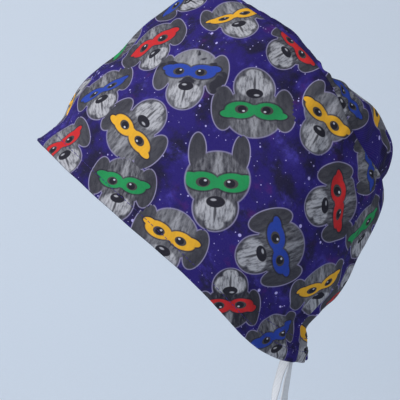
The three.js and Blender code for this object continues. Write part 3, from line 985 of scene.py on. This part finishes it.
def build_tie(name):
    """One ribbon tie, on its route, as a woven strip with a rounded edge."""
    sizes, plan = bpy.context.scene.ribbon_ties, TIE_ROUTES[name]
    route = np.array(plan["route"])
    far = np.concatenate([[0], np.cumsum(np.linalg.norm(np.diff(route, axis=0), axis=1))])
    table = [(share, *place) for share, place in zip(far / far[-1], route)]
    share = np.linspace(0, 1, 90)
    middle = np.stack([read(table, ("share", "x", "y", "z"), k, share) for k in "xyz"], -1)
    run = np.gradient(middle, axis=0)
    run /= np.linalg.norm(run, axis=1, keepdims=True)
    turn = plan["turn"] + 0.35 * np.sin(share * 4.2) * share
    width = np.stack([np.cos(turn), np.sin(turn), np.zeros_like(turn)], -1)
    width -= run * (width * run).sum(1, keepdims=True)
    width /= np.linalg.norm(width, axis=1, keepdims=True)
    out = np.cross(width, run)
    off = np.array([-1, -0.985, -0.93, -0.86, -0.8, -0.55, -0.25, 0, 0.25, 0.55, 0.8, 0.86, 0.93, 0.985, 1])
    half = sizes.thickness / 2 * np.where(np.abs(off) > 0.84, 1.35, 1.0) * np.where(np.abs(off) > 0.99, 0.25, 1.0)
    cup = sizes.cup * (off**2 - 0.4)
    loop_off = np.concatenate([off, off[::-1]]) * sizes.width / 2
    loop_up = np.concatenate([cup + half, (cup - half)[::-1]])
    ripple = 0.00025 * np.sin(share * 17)[:, None] * np.concatenate([off, off[::-1]])[None]
    points = middle[:, None] + width[:, None] * loop_off[None, :, None]
    points = points + out[:, None] * (loop_up[None] + ripple)[..., None]
    rows = numbered(points)
    faces, _ = band_faces(rows)
    ends = [tuple(rows[0][::-1]), tuple(rows[-1])]
    piece = mesh_piece(name + "_ribbon", points.reshape(-1, 3), [*faces, *ends], [material("white_ribbon")])
    uv = piece.data.uv_layers.new(name="cloth")
    on_ribbon = np.stack([np.tile(loop_off, len(share)), np.repeat(share * far[-1], len(loop_off))], -1)
    corners = np.empty(len(piece.data.loops), np.int32)
    piece.data.loops.foreach_get("vertex_index", corners)
    uv.data.foreach_set("uv", on_ribbon[corners].astype(np.float32).ravel())
    fit_frame(piece, RIBBON, name)
    return piece


# ---------------------------------------------------------------- operators and panel

# Where the camera looks, along and up, and the backdrop's sizes, all in metres. The backdrop is a floor that bends
# up into a wall: how far back it bends, how wide the bend is, half its width, and how far below the cap it lies.
VIEW_MIDDLE = (0.0273, 0.0308)
BACKDROP = {"far": 1.0, "bend": 0.6, "half": 3.0, "drop": 0.95}


class CapCamera(bpy.types.Operator):
    """Set the camera level with the cap, at its left side"""

    bl_idname = "scrub_cap.camera"
    bl_label = "Camera"

    def execute(self, context):
        stage = context.scene.cap_stage
        data = bpy.data.cameras.new("cap_camera")
        data.sensor_width = 36
        data.lens = data.sensor_width * stage.distance / stage.field
        data.clip_start = 0.01
        camera = bpy.data.objects.new("cap_camera", data)
        camera.location = (VIEW_MIDDLE[0], -stage.distance, VIEW_MIDDLE[1])
        camera.rotation_euler = (math.pi / 2, 0, 0)
        context.scene.collection.objects.link(camera)
        context.scene.camera = camera
        return {"FINISHED"}


class RibbonTies(bpy.types.Operator):
    """Hang the two ribbon ties below the nape"""

    bl_idname = "scrub_cap.ribbon_ties"
    bl_label = "Ribbon ties"

    def execute(self, context):
        for name in TIE_ROUTES:
            build_tie(name)
        return {"FINISHED"}


class SidePanel(bpy.types.Operator):
    """Make the side panel with its hem, gathers and stitching"""

    bl_idname = "scrub_cap.side_panel"
    bl_label = "Side panel"

    def execute(self, context):
        side, stitching = build_side_panel(), build_stitching()
        return {"FINISHED"}


class Crown(bpy.types.Operator):
    """Make the crown, sewn to the side panel"""

    bl_idname = "scrub_cap.crown"
    bl_label = "Crown"

    def execute(self, context):
        build_crown()
        return {"FINISHED"}


class CapStage(bpy.types.Operator):
    """Make the paper backdrop, the lights and the room"""

    bl_idname = "scrub_cap.stage"
    bl_label = "Stage"

    def execute(self, context):
        stage = context.scene.cap_stage
        far, wide, bend, drop = BACKDROP["far"], BACKDROP["half"], BACKDROP["bend"], BACKDROP["drop"]
        curve = np.linspace(0.1, math.pi / 2, 14)
        along = np.concatenate([np.linspace(-wide, far, 12), far + bend * np.sin(curve), [far + bend] * 6])
        up = np.concatenate([np.zeros(12), bend - bend * np.cos(curve), np.linspace(bend * 1.5, wide, 6)])
        across = np.linspace(-wide, wide, 13)
        points = [(x, y, z - drop) for y, z in zip(along, up) for x in across]
        faces = [
            (r * 13 + c, r * 13 + c + 1, (r + 1) * 13 + c + 1, (r + 1) * 13 + c)
            for r in range(len(along) - 1) for c in range(12)
        ]
        mesh_piece("backdrop", points, faces, [material("backdrop_paper")])
        for name, place, aim, size, power in (
            ("window_light", (-1.15, -1.0, 1.05), (0.0, 0.0, 0.03), 1.1, stage.key),
            ("fill_light", (1.3, -0.7, 0.3), (0.05, 0.0, 0.0), 1.2, stage.fill),
        ):
            data = bpy.data.lights.new(name, "AREA")
            data.shape, data.size, data.energy = "DISK", size, power
            light = bpy.data.objects.new(name, data)
            light.location = place
            light.rotation_euler = (Vector(aim) - Vector(place)).to_track_quat("-Z", "Y").to_euler()
            context.scene.collection.objects.link(light)
        world = bpy.data.worlds.new("room")
        world.use_nodes = True
        background = world.node_tree.nodes["Background"]
        background.inputs["Color"].default_value = (*stage.sky, 1)
        background.inputs["Strength"].default_value = stage.room
        context.scene.world = world
        context.scene.view_settings.view_transform = "Standard"
        return {"FINISHED"}


class ScrubCapPanel(bpy.types.Panel):
    """Buttons and sizes for the cap"""

    bl_idname = "VIEW3D_PT_scrub_cap"
    bl_label = "Scrub Cap"
    bl_space_type = "VIEW_3D"
    bl_region_type = "UI"
    bl_category = "Scrub Cap"

    def draw(self, context):
        for operator in OPERATORS:
            self.layout.operator(operator.bl_idname)
        for group in ("scrub_cap", "ribbon_ties", "cap_stage"):
            box, settings = self.layout.box(), getattr(context.scene, group)
            for name in settings.__annotations__:
                box.prop(settings, name)


SETTINGS = {"scrub_cap": ScrubCapSettings, "ribbon_ties": RibbonTieSettings, "cap_stage": CapStageSettings}
OPERATORS = (CapCamera, RibbonTies, SidePanel, Crown, CapStage)


def register():
    """Adds the settings, operators and panel."""
    for made in (*SETTINGS.values(), *OPERATORS, ScrubCapPanel):
        bpy.utils.register_class(made)
    for name, group in SETTINGS.items():
        setattr(bpy.types.Scene, name, PointerProperty(type=group))


def unregister():
    """Takes them away again."""
    for name in SETTINGS:
        delattr(bpy.types.Scene, name)
    for made in reversed((*SETTINGS.values(), *OPERATORS, ScrubCapPanel)):
        bpy.utils.unregister_class(made)


def main():
    """Builds the cap and its stage."""
    register()
    bpy.ops.scrub_cap.camera()
    bpy.ops.scrub_cap.ribbon_ties()
    bpy.ops.scrub_cap.side_panel()
    bpy.ops.scrub_cap.crown()
    bpy.ops.scrub_cap.stage()


if __name__ == "__main__":
    main()
